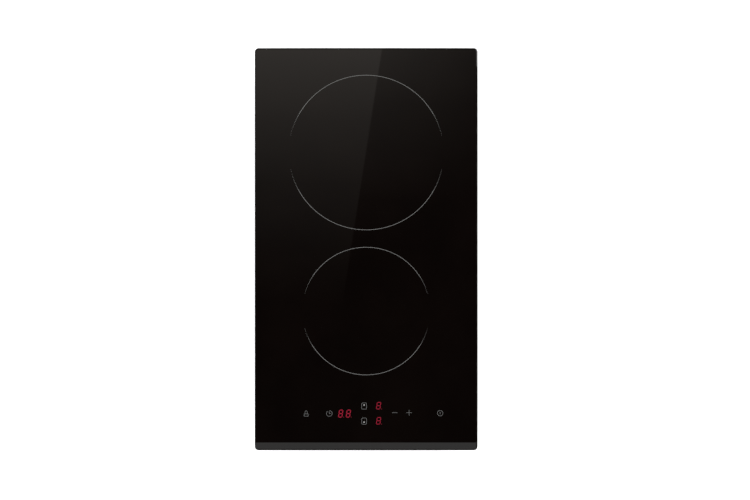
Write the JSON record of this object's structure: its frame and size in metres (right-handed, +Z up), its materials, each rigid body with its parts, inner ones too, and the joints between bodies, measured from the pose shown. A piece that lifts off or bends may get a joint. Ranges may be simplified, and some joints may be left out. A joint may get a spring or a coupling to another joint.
{
  "type": "induction cooktop",
  "caption": "Built-in induction hob with front and rear cooking zones under one black glass plate, touch controls and worktop clamps.",
  "frame": {"origin": "centre of the footprint, on the plane under the four pressed feet", "axes": "+Z up, -Y towards the front edge with the controls, +X to the right"},
  "size_m": [0.288, 0.52, 0.056],
  "materials": {
    "glass": "polished black glass ceramic",
    "zone_enamel": "fired fine-dotted grey enamel",
    "icon_enamel": "fired fine-dotted grey enamel",
    "seal_foam": "matt closed-cell foam",
    "frame_steel": "galvanised",
    "case_steel": "galvanised sheet",
    "screw_steel": "zinc plated",
    "blower_plastic": "glass filled",
    "motor_iron": "varnished laminations",
    "rotor_plastic": "satin",
    "board_green": "solder resist",
    "standoff_plastic": "natural nylon",
    "sink_aluminium": "extruded",
    "chip_black": "moulded epoxy",
    "film_blue": "smooth",
    "can_black": "sleeved can",
    "choke_copper": "enamelled wire",
    "tape_yellow": "polyester tape",
    "fuse_ceramic": "glazed",
    "header_nylon": "natural nylon",
    "terminal_brass": "turned",
    "block_nylon": "natural nylon",
    "cover_plastic": "satin",
    "bush_rubber": "matt",
    "lead_brown": "insulation",
    "lead_red": "insulation",
    "lead_green": "insulation",
    "post_steel": "turned",
    "plate_aluminium": "mill finish",
    "former_plastic": "glass filled",
    "ferrite": "matt",
    "litz_copper": "litz wire",
    "mica": "pearly sheet",
    "sensor_silicone": "silicone",
    "spring_steel": "spring wire",
    "litz_sleeve": "braided sleeve",
    "carrier_plastic": "satin",
    "board_black": "solder resist",
    "display_red": "diffuser",
    "ribbon_grey": "flat cable",
    "washer_zinc": "yellow passivated",
    "clamp_steel": "zinc plated"
  },
  "bodies": {
    "hob": {"blower_base": "blower_plastic", "blower_housing": "blower_plastic", "board_fuse": "fuse_ceramic", "board_headers": "header_nylon", "board_standoffs": "standoff_plastic", "bottom_case": "case_steel", "bridge_rectifier": "chip_black", "bulk_capacitors": "can_black", "cable_bush": "bush_rubber", "case_screws": "screw_steel", "coil_posts": "post_steel", "coil_terminals": "terminal_brass", "control_board": "board_black", "control_carrier": "carrier_plastic", "control_print": "icon_enamel", "earth_lead": "lead_green", "fan_lead": "lead_red", "fan_motor": "motor_iron", "film_capacitors": "film_blue", "filter_choke": "choke_copper", "front_coil_leads": "litz_sleeve", "front_coil_springs": "spring_steel", "glass_top": "glass", "heatsink": "sink_aluminium", "inner_screws": "screw_steel", "led_displays": "display_red", "mains_leads": "lead_brown", "power_board": "board_green", "power_transistors": "chip_black", "rear_coil_leads": "litz_sleeve", "rear_coil_springs": "spring_steel", "ribbon_cable": "ribbon_grey", "supply_transformer": "tape_yellow", "support_frame": "frame_steel", "terminal_block": "block_nylon", "touch_springs": "spring_steel", "worktop_seal": "seal_foam", "zone_print": "zone_enamel"},
    "fan": {"fan_rotor": "rotor_plastic"},
    "cover": {"terminal_cover": "cover_plastic"},
    "rear_coil": {"rear_coil_plate": "plate_aluminium", "rear_coil_former": "former_plastic", "rear_coil_ferrites": "ferrite", "rear_coil_winding": "litz_copper", "rear_coil_mica": "mica", "rear_coil_sensor": "sensor_silicone"},
    "front_coil": {"front_coil_plate": "plate_aluminium", "front_coil_former": "former_plastic", "front_coil_ferrites": "ferrite", "front_coil_winding": "litz_copper", "front_coil_mica": "mica", "front_coil_sensor": "sensor_silicone"},
    "front_clamp_lift": {"front_clamp_washer": "washer_zinc"},
    "front_clamp_turn": {"front_clamp_screw": "screw_steel"},
    "front_clamp_swing": {"front_clamp_arm": "clamp_steel"},
    "rear_clamp_lift": {"rear_clamp_washer": "washer_zinc"},
    "rear_clamp_turn": {"rear_clamp_screw": "screw_steel"},
    "rear_clamp_swing": {"rear_clamp_arm": "clamp_steel"}
  },
  "joints": [
    {"name": "rear_coil_float", "type": "slide", "parent": "hob", "child": "rear_coil", "axis": [0, 0, 1], "range_m": [-0.003, 0], "stiffness_N_per_m": 2500, "springref_m": 0.008, "deforming": ["rear_coil_springs", "rear_coil_leads"]},
    {"name": "front_coil_float", "type": "slide", "parent": "hob", "child": "front_coil", "axis": [0, 0, 1], "range_m": [-0.003, 0], "stiffness_N_per_m": 2500, "springref_m": 0.008, "deforming": ["front_coil_springs", "front_coil_leads"]},
    {"name": "fan_spin", "type": "hinge", "parent": "hob", "child": "fan", "pos_m": [-0.018, 0.14, 0.018], "axis": [0, 0, 1], "continuous": true},
    {"name": "cover_swing", "type": "hinge", "parent": "hob", "child": "cover", "pos_m": [0.074, 0.1885, 0.0026], "axis": [-1, 0, 0], "range_deg": [0, 110]},
    {"name": "front_clamp_rise", "type": "slide", "parent": "hob", "child": "front_clamp_lift", "axis": [0, 0, 1], "range_m": [0, 0.012]},
    {"name": "front_screw_turn", "type": "hinge", "parent": "front_clamp_lift", "child": "front_clamp_turn", "pos_m": [0, -0.2365, 0.01], "axis": [0, 0, 1], "range_deg": [0, 5400]},
    {"name": "front_arm_swing", "type": "hinge", "parent": "front_clamp_lift", "child": "front_clamp_swing", "pos_m": [0, -0.2365, 0.0055], "axis": [0, 0, -1], "range_deg": [0, 90]},
    {"name": "rear_clamp_rise", "type": "slide", "parent": "hob", "child": "rear_clamp_lift", "axis": [0, 0, 1], "range_m": [0, 0.012]},
    {"name": "rear_screw_turn", "type": "hinge", "parent": "rear_clamp_lift", "child": "rear_clamp_turn", "pos_m": [0, 0.2365, 0.01], "axis": [0, 0, 1], "range_deg": [0, 5400]},
    {"name": "rear_arm_swing", "type": "hinge", "parent": "rear_clamp_lift", "child": "rear_clamp_swing", "pos_m": [0, 0.2365, 0.0055], "axis": [0, 0, -1], "range_deg": [0, 90]}
  ],
  "couplings": [
    {"joint": "front_screw_turn", "follows": "front_clamp_rise", "rad_per_m": 7854},
    {"joint": "rear_screw_turn", "follows": "rear_clamp_rise", "rad_per_m": 7854}
  ]
}
